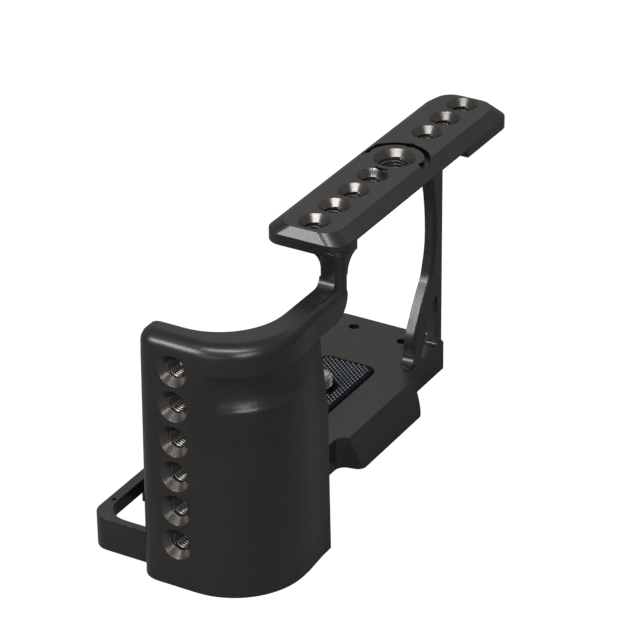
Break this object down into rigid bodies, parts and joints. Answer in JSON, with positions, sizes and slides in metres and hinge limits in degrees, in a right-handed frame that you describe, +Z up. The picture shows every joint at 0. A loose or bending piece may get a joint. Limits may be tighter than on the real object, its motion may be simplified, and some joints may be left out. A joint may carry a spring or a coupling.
{
  "type": "camera cage",
  "caption": "Half cage for a mirrorless camera: base plate, wrap-round grip shell, side arm, top bar with threaded accessory holes and a captive camera screw.",
  "frame": {"origin": "centre of the outside box, on the underside of the base plate that the cage stands on", "axes": "+X along the base plate from the grip shell to the side arm, +Y towards the camera's back, +Z up"},
  "size_m": [0.136, 0.056, 0.0855],
  "materials": {
    "anodised": "satin black anodised",
    "pad_rubber": "fine mesh texture",
    "screw_steel": "turned",
    "black_steel": "black oxide",
    "nylon": "natural"
  },
  "bodies": {
    "cage": {"base_plate": "anodised", "grip_shell": "anodised", "top_bar": "anodised", "side_arm": "anodised", "anti_slip_pad": "pad_rubber", "grip_screw_front": "black_steel", "grip_screw_back": "black_steel", "grip_dowel_left": "screw_steel", "grip_dowel_right": "screw_steel", "end_screw": "black_steel", "rail_screw_left": "black_steel", "rail_screw_right": "black_steel", "arm_screw_left": "black_steel", "arm_screw_right": "black_steel", "arm_dowel_left": "screw_steel", "arm_dowel_right": "screw_steel", "bar_screw_left": "black_steel", "bar_screw_right": "black_steel", "bar_dowel_left": "screw_steel", "bar_dowel_right": "screw_steel"},
    "washer": {"screw_washer": "nylon"},
    "screw": {"camera_screw": "screw_steel"}
  },
  "joints": [
    {"name": "screw_lift", "type": "slide", "parent": "cage", "child": "washer", "axis": [0, 0, 1], "range_m": [-0.0036, 0]},
    {"name": "screw_turn", "type": "hinge", "parent": "washer", "child": "screw", "pos_m": [0.02375, 0.00817, 0.0045], "axis": [0, 0, 1], "continuous": true}
  ]
}
